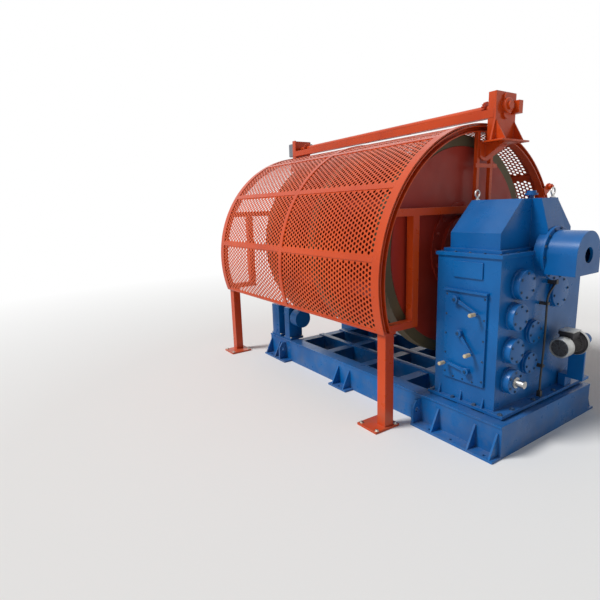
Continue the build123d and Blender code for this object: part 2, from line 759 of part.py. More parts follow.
shaft_end = bearing_out + 14
lift_x = (plate_back_far - pedestal_t - shaft_end, plate_back_near + pedestal_t + shaft_end)
lift_shaft = rod_x(lift_r, *lift_x, lift_y, lift_z)
lift_shaft += toothed_wheel(near_x - wheel_gap - wheel_w)
lift_shaft += toothed_wheel(far_x + wheel_gap)
export("lift_shaft", lift_shaft)

# Gear motor on the far pedestal
reducer_x1 = plate_back_far - pedestal_t - bearing_out - seat
reducer_len = 110.0
reducer_half = 75.0


def build_gear_motor():
    """A worm reducer on the lift shaft with its motor reaching back."""
    x0 = reducer_x1 - reducer_len
    xm = reducer_x1 - reducer_len / 2
    body = box(x0, reducer_x1, lift_y - reducer_half, lift_y + reducer_half, lift_z - 70, lift_z + 80)
    body = fillet(body.edges().filter_by(Axis.X), 12)
    body += rod_y(60, lift_y + reducer_half - 1, lift_y + reducer_half + 14, xm, lift_z + 36)
    body += rod_y(48, lift_y + reducer_half, lift_y + reducer_half + 170, xm, lift_z + 36)
    body += box(xm - 30, xm + 30, lift_y + 130, lift_y + 190, lift_z + 78, lift_z + 108)
    return body - rod_x(lift_r + running_fit, x0 - 5, reducer_x1 + 5, lift_y, lift_z)


export("lift_gear_motor", build_gear_motor())

# Side bracket with its pin on the back of the near hoop, and the switch box on the near pedestal
bracket_angle = 34.5
bracket_t = 10.0
bracket_pin_r = 1122.0
bracket_outline = ((hoop_in + 4, -34), (1120, -34), (1150, -20), (1150, 20), (1120, 34), (hoop_in + 4, 34))


def about_hoop(r, off, angle):
    """Y and Z of a point given by its radius and sideways offset about the hoop centre."""
    tilt = radians(angle)
    return (guard_y + r * cos(tilt) - off * sin(tilt), guard_z + r * sin(tilt) + off * cos(tilt))


bracket_x0 = near_x + seat
bracket = side_plate([about_hoop(r, off, bracket_angle) for r, off in bracket_outline], bracket_x0, bracket_x0 + bracket_t)
pin_y, pin_z = about_hoop(bracket_pin_r, 0, bracket_angle)
bracket += rod_x(24, bracket_x0 + bracket_t - 1, bracket_x0 + 34, pin_y, pin_z)
bracket += rod_x(12, bracket_x0 + bracket_t - 1, bracket_x0 + 46, pin_y, pin_z)
export("hoop_side_bracket", bracket)

switch_box_x0 = plate_back_near + pedestal_t + seat
switch_box_y0 = lift_y + bearing_r + 10
export("switch_box", box(switch_box_x0, switch_box_x0 + 60, switch_box_y0, switch_box_y0 + 50, lift_z - 50, lift_z + 40))
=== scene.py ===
# %% [markdown]
# # A rigid stranding machine
# The machine stands on a ladder base: a blue gearbox on a plinth at the near end, a rotor of three
# discs on a hollow shaft behind it, and an arched guard of perforated sheet over the rotor.
# The solid parts come ready made and measured, so this notebook dresses them: it cuts the
# perforations, sets the screws, shapes some parts more finely, and mixes the paints.
# Everything is in metres. The origin is on the floor under the shaft, +X points at the reader's
# side of the gearbox, +Y to the back and +Z up.

from math import atan2, cos, pi, radians, sin

import bpy
import bmesh
from mathutils import Matrix, Vector


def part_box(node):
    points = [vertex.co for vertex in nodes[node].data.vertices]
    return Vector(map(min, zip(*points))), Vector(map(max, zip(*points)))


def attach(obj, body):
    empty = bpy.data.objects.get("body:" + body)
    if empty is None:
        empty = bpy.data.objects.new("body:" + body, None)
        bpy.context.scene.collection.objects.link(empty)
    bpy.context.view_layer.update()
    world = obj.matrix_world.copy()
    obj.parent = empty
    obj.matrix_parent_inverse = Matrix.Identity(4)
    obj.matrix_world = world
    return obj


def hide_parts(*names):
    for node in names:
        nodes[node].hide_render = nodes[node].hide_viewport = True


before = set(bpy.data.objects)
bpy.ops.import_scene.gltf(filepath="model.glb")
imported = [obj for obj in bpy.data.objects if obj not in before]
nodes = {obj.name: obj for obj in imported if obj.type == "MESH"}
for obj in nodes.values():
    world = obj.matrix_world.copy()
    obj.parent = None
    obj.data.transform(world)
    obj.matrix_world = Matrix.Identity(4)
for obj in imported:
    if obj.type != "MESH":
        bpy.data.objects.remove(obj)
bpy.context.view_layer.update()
scene = bpy.context.scene


def add_object(name, data):
    """A new object in the scene."""
    made = bpy.data.objects.new(name, data)
    scene.collection.objects.link(made)
    return made


# %% [markdown]
# ## Camera
# The picture was taken at eye height, from the front left of the gearbox, with the wide lens of a
# phone. The camera is placed by its position and three angles, found from the corners of the
# plinth, the gearbox and the hoops. A short lens gives the strong shrinking towards the far end.

# %% Camera at eye height
eye = Vector((1.7859, -3.0220, 1.5878))
turn, tip, lean = radians(56.339), radians(-11.596), radians(-1.922)
focal_pixels, picture_pixels, sensor = 452.555, 600, 36.0
ahead = Vector((-sin(turn) * cos(tip), cos(turn) * cos(tip), sin(tip)))
level_right = ahead.cross(Vector((0, 0, 1))).normalized()
level_up = level_right.cross(ahead)
right = cos(lean) * level_right + sin(lean) * level_up
up = -sin(lean) * level_right + cos(lean) * level_up
camera_data = bpy.data.cameras.new("camera")
camera_data.sensor_width = sensor
camera_data.lens = focal_pixels / picture_pixels * sensor
camera = add_object("camera", camera_data)
camera.matrix_world = Matrix((
    (right.x, up.x, -ahead.x, eye.x),
    (right.y, up.y, -ahead.y, eye.y),
    (right.z, up.z, -ahead.z, eye.z),
    (0, 0, 0, 1),
))
scene.camera = camera
scene.view_settings.view_transform = "Standard"
print("lens in mm", round(camera_data.lens, 2))

# %% [markdown]
# ## Small helpers for node trees
# The sky, the floor, the paints and the repeated parts are node trees. A few short functions keep
# each tree down to the few decisions that it really is.


# %% Node helpers
def feed(tree, node, feeds):
    """Feeds a node's inputs from sockets or with plain values."""
    for key, value in feeds.items():
        if isinstance(value, bpy.types.NodeSocket):
            tree.links.new(value, node.inputs[key])
        elif value is not None:
            node.inputs[key].default_value = value
    return node


def add_node(tree, kind, feeds=None, **values):
    """Adds a node, sets its named values and feeds its inputs."""
    made = tree.nodes.new(kind)
    for key, value in values.items():
        if key in made.inputs:
            made.inputs[key].default_value = value
        else:
            setattr(made, key, value)
    return feed(tree, made, feeds or {})


def calc(tree, operation, a, b=None):
    """One step of arithmetic on sockets or plain numbers."""
    return add_node(tree, "ShaderNodeMath", {0: a, 1: b}, operation=operation).outputs[0]


def multiply(tree, a, b):
    """The product of two values."""
    return calc(tree, "MULTIPLY", a, b)


def noise(tree, place, scale, detail=3.0, rough=0.55):
    """A noise texture on given coordinates."""
    feeds = {"Vector": place, "Scale": scale, "Detail": detail, "Roughness": rough}
    return add_node(tree, "ShaderNodeTexNoise", feeds).outputs["Fac"]


def spread(tree, value, low, high, to_low=0.0, to_high=1.0):
    """Maps a value from one range to another, clamped."""
    made = add_node(tree, "ShaderNodeMapRange", {
        "Value": value, "From Min": low, "From Max": high, "To Min": to_low, "To Max": to_high,
    })
    return made.outputs["Result"]


def blend_colour(tree, amount, first, second):
    """A colour mixed from two, by an amount from 0 to 1."""
    first, second = [(*c, 1) if isinstance(c, tuple) else c for c in (first, second)]
    return add_node(tree, "ShaderNodeMix", {0: amount, 6: first, 7: second}, data_type="RGBA").outputs[2]


def new_paint(name):
    """A new material: itself, its tree, its shader and the object's own coordinates."""
    made = bpy.data.materials.new(name)
    made.use_nodes = True
    tree = made.node_tree
    print("paint", name)
    return made, tree, tree.nodes["Principled BSDF"], add_node(tree, "ShaderNodeTexCoord").outputs["Object"]


# %% [markdown]
# ## Floor, world and sun
# A product picture needs a pale floor that keeps the machine's shadow, and a background that stays
# white. A white world would also light the machine, so the white is given to the rays that come
# from the camera, a mirror or glass alone, and the light itself is a softer grey.
# One wide soft sun from the front left is enough: the faces at the front and on top are bright and
# those at the gearbox's end stay dark.

# %% White background by the kind of ray
sky_light = 0.30
world = bpy.data.worlds.new("studio")
scene.world = world
world.use_nodes = True
sky = world.node_tree
sky.nodes.clear()
soft_sky = add_node(sky, "ShaderNodeBackground", Color=(0.97, 0.98, 1.0, 1), Strength=sky_light)
white_sky = add_node(sky, "ShaderNodeBackground", Color=(1, 1, 1, 1), Strength=1.0)
rays = add_node(sky, "ShaderNodeLightPath").outputs
sees_sky = calc(sky, "MAXIMUM", rays["Is Camera Ray"], rays["Is Glossy Ray"])
sees_sky = calc(sky, "MAXIMUM", sees_sky, rays["Is Transmission Ray"])
sky_mix = add_node(sky, "ShaderNodeMixShader", {
    0: sees_sky, 1: soft_sky.outputs[0], 2: white_sky.outputs[0],
})
add_node(sky, "ShaderNodeOutputWorld", {0: sky_mix.outputs[0]})
print("nodes in the sky", len(sky.nodes))

# %% One wide soft sun
to_sun = Vector((-0.25, -0.62, 0.74))
sun_data = bpy.data.lights.new("soft_sun", "SUN")
sun_data.energy = 2.65
sun_data.angle = radians(18.0)
sun = add_object("soft_sun", sun_data)
sun.rotation_euler = to_sun.to_track_quat("Z", "Y").to_euler()
from_sun = sun_data.energy / pi * to_sun.normalized().z
print("light on a level white face", round(from_sun, 2), "plus the sky's", sky_light)

# %% Pale floor
far, fade_start, fade_end = 40, 3.6, 9.0
floor_mesh = bpy.data.meshes.new("floor")
floor_mesh.from_pydata([(-far, -far, 0), (far, -far, 0), (far, far, 0), (-far, far, 0)], [], [(0, 1, 2, 3)])
floor = add_object("floor", floor_mesh)
floor_paint, floor_tree, floor_shader, floor_place = new_paint("pale_floor")
feed(floor_tree, floor_shader, {
    "Base Color": (0.83, 0.825, 0.81, 1), "Roughness": 0.9, "Specular IOR Level": 0.1,
})
distance = add_node(floor_tree, "ShaderNodeVectorMath", {0: floor_place}, operation="LENGTH")
far_off = spread(floor_tree, distance.outputs["Value"], fade_start, fade_end)
seen = add_node(floor_tree, "ShaderNodeLightPath").outputs["Is Camera Ray"]
floor_white = add_node(floor_tree, "ShaderNodeEmission", Strength=1.0)
floor_mix = add_node(floor_tree, "ShaderNodeMixShader", {
    0: multiply(floor_tree, far_off, seen), 1: floor_shader.outputs[0], 2: floor_white.outputs[0],
})
feed(floor_tree, floor_tree.nodes["Material Output"], {0: floor_mix.outputs[0]})
floor_mesh.materials.append(floor_paint)

# %% [markdown]
# ## Paints and metals
# The machine is sprayed steel, so most of it is two gloss enamels, blue and orange. Real enamel is
# never one flat colour: it is a little uneven in shade, has the fine skin called orange peel, holds
# dust on what faces up, and is rubbed through at corners. The grey on the corners is partly that
# wear and partly a painted highlight that lightens the edges. One function builds all of that from
# noise on the object's own coordinates, and each paint only names its colours and amounts.
# Paint near the floor also gets splashed, so grime comes in below knee height.
# The Bevel node rounds the light on sharp corners, and where its direction leaves that of the flat
# face, there is an edge, which is how the corners are found.

# %% Material helpers
dust_colour, grime_colour, knee_height = (0.42, 0.39, 0.34), (0.20, 0.17, 0.13), 0.34


def patches(tree, place, scale, detail, low, high, rough=0.55):
    """Soft-edged patches from a noise, as an amount from 0 to 1."""
    return spread(tree, noise(tree, place, scale, detail, rough), low, high)


def bump(tree, height, strength, depth, under=None):
    """The direction of a face with small waves on it, on top of another direction."""
    feeds = {"Height": height, "Normal": under}
    return add_node(tree, "ShaderNodeBump", feeds, Strength=strength, Distance=depth).outputs[0]


def soft_corners(tree, radius):
    """The direction of a face with its sharp corners rounded."""
    return add_node(tree, "ShaderNodeBevel", samples=4, Radius=radius).outputs["Normal"]


# %% Enamel
def enamel(
    name, colour, shade, gloss, coat, dust=0.18, wear_and_highlight=0.5, worn_and_highlight=(0.30, 0.29, 0.28),
    peel=0.05, wave=0.12, soften=0.0035, grime=0.35,
):
    """Sprayed paint with uneven shade, dust, orange peel, grime low down, and a grey on the corners that is
    partly bare metal and partly a painted highlight.
    """
    made, tree, shader, place = new_paint(name)
    painted = blend_colour(tree, patches(tree, place, 2.2, 5.0, 0.35, 0.68), colour, shade)
    face = rounded = add_node(tree, "ShaderNodeNewGeometry").outputs["Normal"]
    # The corners turn grey: partly paint rubbed through, partly a painted highlight along the edges.
    if soften:
        rounded = soft_corners(tree, soften)
        apart = add_node(tree, "ShaderNodeVectorMath", {0: face, 1: rounded}, operation="DOT_PRODUCT")
        corner = spread(tree, apart.outputs["Value"], 0.985, 0.80)
        rubbed_and_lit = multiply(tree, corner, patches(tree, place, 26.0, 6.0, 0.48, 0.62, 0.7))
        painted = blend_colour(tree, multiply(tree, rubbed_and_lit, wear_and_highlight), painted, worn_and_highlight)
    facing = add_node(tree, "ShaderNodeSeparateXYZ", {0: face}).outputs["Z"]
    settled = multiply(tree, spread(tree, facing, 0.55, 0.98), patches(tree, place, 5.0, 6.0, 0.3, 0.7))
    painted = blend_colour(tree, multiply(tree, settled, dust), painted, dust_colour)
    height = add_node(tree, "ShaderNodeSeparateXYZ", {0: place}).outputs["Z"]
    low = spread(tree, height, knee_height, 0.0)
    splashed = multiply(tree, low, patches(tree, place, 7.0, 7.0, 0.42, 0.68, 0.7))
    painted = blend_colour(tree, multiply(tree, splashed, grime), painted, grime_colour)
    uneven = spread(tree, noise(tree, place, 9.0, 4.0), 0.3, 0.7, gloss, gloss + 0.16)
    broad = bump(tree, noise(tree, place, 3.4, 2.0), wave, 0.004, rounded)
    skin = bump(tree, noise(tree, place, 420.0, 2.0), peel, 0.0006, broad)
    feed(tree, shader, {
        "Base Color": painted, "Roughness": uneven, "Normal": skin,
        "Specular IOR Level": 0.25, "Coat Weight": coat, "Coat Roughness": 0.15,
    })
    return made


# %% The machine's enamels
blue_enamel = enamel(
    "blue_enamel", (0.002, 0.128, 0.400), (0.002, 0.088, 0.290), 0.24, 0.10, dust=0.10, wear_and_highlight=0.4,
)
bolt_enamel = enamel("bolt_enamel", (0.004, 0.060, 0.165), (0.006, 0.040, 0.105), 0.34, 0.0, wear_and_highlight=0.9)
orange_enamel = enamel("orange_enamel", (0.62, 0.070, 0.009), (0.50, 0.050, 0.007), 0.24, 0.10, dust=0.07)
sheet_enamel = enamel(
    "sheet_enamel", (0.66, 0.086, 0.013), (0.53, 0.060, 0.009), 0.27, 0.0,
    dust=0.10, soften=0.0, peel=0.0,
)
# Painted shade: the discs carry the guard's orange, darkened and dulled for the shade inside the guard.
shaded_rotor_enamel = enamel("shaded_rotor_enamel", (0.40, 0.034, 0.017), (0.29, 0.024, 0.013), 0.34, 0.05, dust=0.12)
grey_enamel = enamel("grey_enamel", (0.20, 0.22, 0.25), (0.15, 0.165, 0.19), 0.38, 0.05)
motor_enamel = enamel(
    "dark_motor_enamel", (0.050, 0.048, 0.050), (0.034, 0.032, 0.034), 0.42, 0.0, dust=0.25,
)
primer = enamel(
    "olive_primer", (0.135, 0.108, 0.055), (0.085, 0.070, 0.040), 0.48, 0.0, dust=0.2, wear_and_highlight=0.8,
)


# %% Bare metals
def bare_metal(name, colour, shade, rough, grain, grain_strength, metal=1.0):
    """Turned or cast metal with a grain, stains and uneven shine."""
    made, tree, shader, place = new_paint(name)
    stained = blend_colour(tree, patches(tree, place, 14.0, 6.0, 0.38, 0.66, 0.65), colour, shade)
    uneven = spread(tree, noise(tree, place, 40.0, 4.0), 0.3, 0.7, rough, rough + 0.18)
    skin = bump(tree, noise(tree, place, grain, 3.0), grain_strength, 0.0005, soft_corners(tree, 0.0015))
    feed(tree, shader, {"Base Color": stained, "Roughness": uneven, "Normal": skin, "Metallic": metal})
    return made


turned_steel = bare_metal("turned_steel", (0.60, 0.59, 0.57), (0.42, 0.41, 0.39), 0.24, 260.0, 0.08)
# The cast alloy is partly its own grey and partly painted shade: it is darkened because the pump motor
# stands in shade.
shaded_cast_alloy = bare_metal("shaded_cast_alloy", (0.50, 0.51, 0.50), (0.34, 0.34, 0.32), 0.40, 380.0, 0.25)
zinc = bare_metal("zinc_plate", (0.62, 0.60, 0.54), (0.48, 0.45, 0.38), 0.32, 300.0, 0.1)
# Painted shade: this dark metal serves only the disc behind the fan grille.
shade_disc_metal = bare_metal("shade_disc_metal", (0.055, 0.052, 0.048), (0.03, 0.028, 0.026), 0.5, 200.0, 0.2, 0.6)


# %% Plastic and rubber
def moulded(name, colour, shade, rough, grain):
    """Moulded plastic or rubber with a fine skin."""
    made, tree, shader, place = new_paint(name)
    mottled = blend_colour(tree, patches(tree, place, 30.0, 5.0, 0.35, 0.65), colour, shade)
    uneven = spread(tree, noise(tree, place, 60.0, 3.0), 0.3, 0.7, rough, rough + 0.15)
    skin = bump(tree, noise(tree, place, grain, 2.0), 0.12, 0.0004)
    feed(tree, shader, {"Base Color": mottled, "Roughness": uneven, "Normal": skin})
    return made


beige_knob = moulded("beige_knob", (0.60, 0.50, 0.33), (0.47, 0.38, 0.24), 0.38, 500.0)
black_rubber = moulded("black_rubber", (0.018, 0.018, 0.019), (0.032, 0.031, 0.030), 0.42, 300.0)

# %% [markdown]
# ## Painting the ready-made parts
# Each part of the machine gets the finish that its maker would give it: blue for the gearbox, the
# base and the rollers, orange for the guard and its carriers, the same orange darkened into a dull
# red as painted shade for the discs under the guard, olive primer for the rims, and bare steel for
# the shafts and eyebolts.

# %% Finish of each part
finish_of = {
    blue_enamel: (
        "plinth", "base_side_beams", "cross_beams", "gearbox_body", "gearbox_hat", "shaft_end_cover",
        "bearing_covers", "side_cover", "blank_plate", "breather", "oil_pump", "roller_stands",
        "top_lever", "middle_lever", "low_lever", "front_roller", "back_roller",
    ),
    orange_enamel: (
        "guard_posts", "guard_hoops", "back_shell", "back_shell_ribs", "guard_sheets", "guard_bands",
        "guard_seam_bars", "guard_guide_shoes", "end_frames", "lift_pedestals", "top_beam",
        "lift_shaft", "hoop_side_bracket", "switch_box",
    ),
    shaded_rotor_enamel: ("rotor_discs", "hub_flange", "rotor_tie_beams"),
    primer: ("rotor_rims",),
    turned_steel: ("drive_stub_shaft", "main_shaft", "eyebolts"),
    grey_enamel: ("lift_gear_motor",),
    shaded_cast_alloy: ("oil_pump_motor",),
    beige_knob: ("top_lever_knob", "middle_lever_knob", "low_lever_knob"),
    black_rubber: ("lubrication_hose", "hose_fittings"),
}
for finish, names in finish_of.items():
    for name in names:
        mesh = nodes[name].data
        mesh.materials.clear()
        mesh.materials.append(finish)
        for polygon in mesh.polygons:
            polygon.material_index = 0
unpainted = sorted(set(nodes) - {n for names in finish_of.values() for n in names})
print("parts painted", len(nodes) - len(unpainted), "left", unpainted)

# %% [markdown]
# ## Mesh helpers
# A new piece is made straight in its place, so its object stays at the origin. Curved faces are
# shaded smooth and corners over thirty degrees stay sharp. What a node tree makes becomes a plain
# mesh at once, and the objects that served as its patterns are removed.


# %% Finished piece from plain data
def finish_piece(mesh, name, material, replaced=None, body="frame", sharp=30.0):
    """Puts a mesh, or a list of them joined, in the scene as one piece on a body."""
    if isinstance(mesh, list):
        mesh = join_meshes(mesh)
    mesh.name = name
    if not mesh.materials:
        mesh.materials.append(material)
    mesh.shade_smooth()
    mesh.set_sharp_from_angle(angle=radians(sharp))
    piece = add_object(name, mesh)
    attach(piece, body)
    if replaced:
        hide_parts(replaced)
    print(name, "triangles", triangles(piece))


def plain_mesh(name, points, faces):
    """A mesh from points and faces, as they are."""
    mesh = bpy.data.meshes.new(name)
    mesh.from_pydata([tuple(p) for p in points], [], faces)
    return mesh


def reworked(mesh, work_on):
    """The same mesh after some work on its bmesh."""
    work = bmesh.new()
    work.from_mesh(mesh)
    work_on(work)
    work.to_mesh(mesh)
    work.free()
    return mesh


def closed_mesh(name, points, faces):
    """A mesh from points and faces, with its normals turned outwards."""
    mesh = plain_mesh(name, points, faces)
    return reworked(mesh, lambda work: bmesh.ops.recalc_face_normals(work, faces=work.faces))


def join_meshes(meshes):
    """One mesh from several."""
    def take_in(work):
        for mesh in meshes:
            work.from_mesh(mesh)
    return reworked(bpy.data.meshes.new("joined"), take_in)


def triangles(piece):
    """How many triangles a piece has."""
    return sum(len(p.vertices) - 2 for p in piece.data.polygons)


def quads(low, high, count):
    """Faces between two closed rows of points, by the number of each row's first point."""
    return [(low + i, low + (i + 1) % count, high + (i + 1) % count, high + i) for i in range(count)]


# %% What a node tree makes
def grown(tree, keys, values, start=None):
    """The plain mesh that a tree makes, with its inputs set by their identifiers."""
    helpers = [add_object("holder", start or bpy.data.meshes.new("holder"))]
    layout = helpers[0].modifiers.new("layout", "NODES")
    layout.node_group = tree
    for name, value in values.items():
        if isinstance(value, bpy.types.Mesh):
            value = add_object(name, value)
            helpers.append(value)
        layout[keys[name]] = value
    depsgraph = bpy.context.evaluated_depsgraph_get()
    mesh = bpy.data.meshes.new_from_object(helpers[0].evaluated_get(depsgraph))
    helpers[0].modifiers.clear()
    for helper in helpers:
        bpy.data.objects.remove(helper)
    return mesh


def new_tree(name, specs):
    """An empty geometry tree with named inputs: itself, their identifiers and their sockets."""
    tree = bpy.data.node_groups.new(name, "GeometryNodeTree")
    for way in ("INPUT", "OUTPUT"):
        tree.interface.new_socket("Geometry", in_out=way, socket_type="NodeSocketGeometry")
    keys = {
        key: tree.interface.new_socket(key, in_out="INPUT", socket_type=f"NodeSocket{kind}").identifier
        for key, kind in specs
    }
    return tree, keys, tree.nodes.new("NodeGroupInput").outputs


def end_tree(tree, geometry, finish):
    """Ends a tree: its instances are made real and painted."""
    real = add_node(tree, "GeometryNodeRealizeInstances", {0: geometry})
    coat = add_node(tree, "GeometryNodeSetMaterial", {"Geometry": real.outputs[0], "Material": finish})
    add_node(tree, "NodeGroupOutput", {0: coat.outputs[0]})
    print(tree.name, "nodes", len(tree.nodes))


def on_points(tree, points, part, **feeds):
    """A part, given as an object, set on points."""
    pattern = add_node(tree, "GeometryNodeObjectInfo", {"Object": part})
    feeds = {"Points": points, "Instance": pattern.outputs["Geometry"], **feeds}
    return add_node(tree, "GeometryNodeInstanceOnPoints", feeds).outputs[0]


# %% [markdown]
# ## Perforated sheet
# The guard is bent from sheet with round holes in lines that run round the arc, each line offset by
# half a pitch from its neighbours. Cutting thousands of holes with booleans is slow and leaves bad
# faces. A pattern cell is better: a small rectangle with one round hole and its wall. Geometry
# Nodes lay the cells out flat, weld them and roll the sheet up about the hoop's centre. Every
# second line starts and ends with a plain half cell, so that the sheet ends straight.

# %% One cell with its hole
hoop_centre = (0.140, 1.055)
hole_sides = 16


def circle_points(radius, count, phase=0.0):
    """Points on a circle about the origin, in a plane."""
    turns = [phase + 2 * pi * i / count for i in range(count)]
    return [(radius * cos(a), radius * sin(a)) for a in turns]


def hole_cell(pitch, row, radius, thickness):
    """A flat cell with one round hole: both skins and the hole's wall."""
    half_x, half_y = pitch / 2, row / 2
    outer = [(half_x, -half_y), (half_x, half_y), (0, half_y)]
    outer += [(-half_x, half_y), (-half_x, -half_y), (0, -half_y)]
    flat = outer + circle_points(radius, hole_sides)
    points = [(x, y, z) for z in (thickness / 2, -thickness / 2) for x, y in flat]
    first, layer = len(outer), len(flat)
    side_of = [atan2(y, x) for x, y in outer]
    near_corner = [
        min(range(first), key=lambda k: round(1 - cos(side_of[k] - 2 * pi * i / hole_sides), 6))
        for i in range(hole_sides)
    ]
    faces = []
    for level in (0, 1):
        base = level * layer
        for i in range(hole_sides):
            j = (i + 1) % hole_sides
            a, b = near_corner[i], near_corner[j]
            skins = [(base + a, base + first + j, base + first + i)]
            if a != b:
                skins.append((base + a, base + b, base + first + j))
            faces += skins if level == 0 else [tuple(reversed(f)) for f in skins]
    return plain_mesh("hole_cell", points, faces + quads(first, layer + first, hole_sides))


def half_cell(pitch, row, thickness):
    """The plain half cell that ends every second line."""
    corners = [(-pitch / 4, -row / 2), (pitch / 4, -row / 2), (pitch / 4, row / 2), (-pitch / 4, row / 2)]
    points = [(x, y, z) for z in (thickness / 2, -thickness / 2) for x, y in corners]
    return plain_mesh("half_cell", points, [(0, 1, 2, 3), (7, 6, 5, 4)])


# %% [markdown]
# The tree has three grids of points: the full lines, the lines between them, and the two ends of
# those. Then it rolls the flat sheet up: the way along a line of holes becomes an angle, and the way
# across the lines stays along the machine.

# %% Geometry Nodes for the perforated field
weld_distance = 0.0002


def flat_rows(tree, source):
    """Three grids of cells, laid out flat and welded."""
    length = multiply(tree, source["Columns"], source["Pitch"])
    two_rows = multiply(tree, source["Row height"], 2.0)
    height = multiply(tree, calc(tree, "SUBTRACT", source["Row pairs"], 1.0), two_rows)
    middle = multiply(tree, length, 0.5)
    join = tree.nodes.new("GeometryNodeJoinGeometry")
    for count, pitches_short, offset, part in (
        (source["Columns"], 1.0, -0.5, "Cell"),
        (calc(tree, "SUBTRACT", source["Columns"], 1.0), 2.0, 0.5, "Cell"),
        (2, 0.5, 0.5, "Half cell"),
    ):
        wide = calc(tree, "SUBTRACT", length, multiply(tree, source["Pitch"], pitches_short))
        grid = add_node(tree, "GeometryNodeMeshGrid", {
            "Size X": wide, "Size Y": height, "Vertices X": count, "Vertices Y": source["Row pairs"],
        })
        lift = calc(tree, "ADD", multiply(tree, height, 0.5),
                    multiply(tree, source["Row height"], offset + 1.0))
        corner = add_node(tree, "ShaderNodeCombineXYZ", {"X": middle, "Y": lift})
        shift = add_node(tree, "GeometryNodeTransform", {
            "Geometry": grid.outputs["Mesh"], "Translation": corner.outputs[0],
        })
        tree.links.new(on_points(tree, shift.outputs[0], source[part]), join.inputs[0])
    flat = add_node(tree, "GeometryNodeRealizeInstances", {0: join.outputs[0]})
    feeds = {"Geometry": flat.outputs[0], "Distance": weld_distance}
    return add_node(tree, "GeometryNodeMergeByDistance", feeds).outputs[0]


def rolled_up(tree, source, flat):
    """The flat sheet moved to its place on the arc about the hoop's centre."""
    position = add_node(tree, "GeometryNodeInputPosition").outputs[0]
    where = add_node(tree, "ShaderNodeSeparateXYZ", {0: position}).outputs
    along = calc(tree, "DIVIDE", where["X"], source["Radius"])
    angle = calc(tree, "ADD", source["Start angle"], along)
    reach = calc(tree, "ADD", source["Radius"], where["Z"])
    target = {"X": calc(tree, "ADD", source["Start"], where["Y"])}
    for axis, turn_by, centre in (("Y", "COSINE", hoop_centre[0]), ("Z", "SINE", hoop_centre[1])):
        out = multiply(tree, reach, calc(tree, turn_by, angle))
        target[axis] = calc(tree, "ADD", out, centre)
    rolled = add_node(tree, "ShaderNodeCombineXYZ", target).outputs[0]
    return add_node(tree, "GeometryNodeSetPosition", {"Geometry": flat, "Position": rolled}).outputs[0]


field_tree, field_keys, field_inputs = new_tree("perforated_field", (
    ("Cell", "Object"), ("Half cell", "Object"), ("Columns", "Int"), ("Row pairs", "Int"),
    ("Pitch", "Float"), ("Row height", "Float"), ("Start", "Float"), ("Start angle", "Float"),
    ("Radius", "Float"), ("Paint", "Material"),
))
rolled_field = rolled_up(field_tree, field_inputs, flat_rows(field_tree, field_inputs))
end_tree(field_tree, rolled_field, field_inputs["Paint"])

# %% Perforated field and its plain margins
hole_pitch, line_step, hole_radius = 0.037, 0.032, 0.0125
sheet_thickness, sheet_gap = 0.003, 0.003


def perforated_field(x0, x1, a0, a1, radius):
    """A field of holes between two places and two angles, its holes round the arc, and in all."""
    across = max(3, round((a1 - a0) * radius / hole_pitch))
    pairs = max(2, round((x1 - x0) / line_step / 2))
    true_pitch = (a1 - a0) * radius / across
    true_step = (x1 - x0) / (2 * pairs)
    mesh = grown(field_tree, field_keys, {
        "Cell": hole_cell(true_pitch, true_step, hole_radius, sheet_thickness),
        "Half cell": half_cell(true_pitch, true_step, sheet_thickness),
        "Columns": across, "Row pairs": pairs, "Pitch": true_pitch, "Row height": true_step,
        "Start": x0, "Start angle": a0, "Radius": radius, "Paint": sheet_enamel,
    })
    return mesh, across, across * 2 * pairs - pairs


def curved_plate(x0, x1, a0, a1, radius, thickness, count):
    """A closed plate rolled about the hoop's centre, in as many flats as said."""
    points = []
    for i in range(count + 1):
        angle = a0 + (a1 - a0) * i / count
        for x in (x0, x1):
            for r in (radius - thickness / 2, radius + thickness / 2):
                points.append((x, hoop_centre[0] + r * cos(angle), hoop_centre[1] + r * sin(angle)))
    faces = [(0, 1, 3, 2), (4 * count, 4 * count + 2, 4 * count + 3, 4 * count + 1)]
    for i in range(count):
        a, b = 4 * i, 4 * i + 4
        faces += [(a, a + 2, b + 2, b), (a + 1, b + 1, b + 3, a + 3)]
        faces += [(a, b, b + 1, a + 1), (a + 2, a + 3, b + 3, b + 2)]
    return closed_mesh("plate", points, faces)


def perforated_sheet(name, x_fields, x_all, a0, a1, margin, radius, body, node):
    """One sheet: fields of holes in plain margins, and a gap to the next sheet."""
    parts, holes, across = [], 0, 1
    trim = margin / radius
    a1 -= sheet_gap / radius
    for x0, x1 in x_fields:
        field, across, made = perforated_field(x0, x1, a0 + trim, a1 - trim, radius)
        parts.append(field)
        holes += made
    for low, high in ((a0, a0 + trim), (a1 - trim, a1)):
        parts.append(curved_plate(*x_all, low, high, radius, sheet_thickness, 2))
    edges = [x_all[0]] + [x for field in x_fields for x in field] + [x_all[1]]
    for x0, x1 in zip(edges[::2], edges[1::2]):
        parts.append(curved_plate(x0, x1, a0 + trim, a1 - trim, radius, sheet_thickness, 2 * across))
    finish_piece(parts, name, sheet_enamel, node, body, 25.0)
    print(name, "holes", holes)


# %% [markdown]
# The swinging guard has four sheets, one after the other round the arc. The bars along their seams
# and the bands at their ends lie on the outside, so each sheet keeps a plain margin under them.
# The fixed shell at the back is made the same way, with its ribs on the inside.

# %% Guard sheets
near_face, far_face = -0.376, -2.862
band, middle_rib = 0.074, (-1.650, -1.600)
guard_angles = (radians(88.0), radians(198.5))
guard_radius, guard_margin = 1.0905, 0.020
panel_step = (guard_angles[1] - guard_angles[0]) / 4
guard_fields = ((far_face + band, middle_rib[0]), (middle_rib[1], near_face - band))
for index, place in enumerate(("top", "upper", "lower", "bottom")):
    start = guard_angles[0] + index * panel_step
    perforated_sheet(
        "guard_sheet_" + place, guard_fields, (far_face, near_face),
        start, start + panel_step, guard_margin, guard_radius, "guard", "guard_sheets",
    )

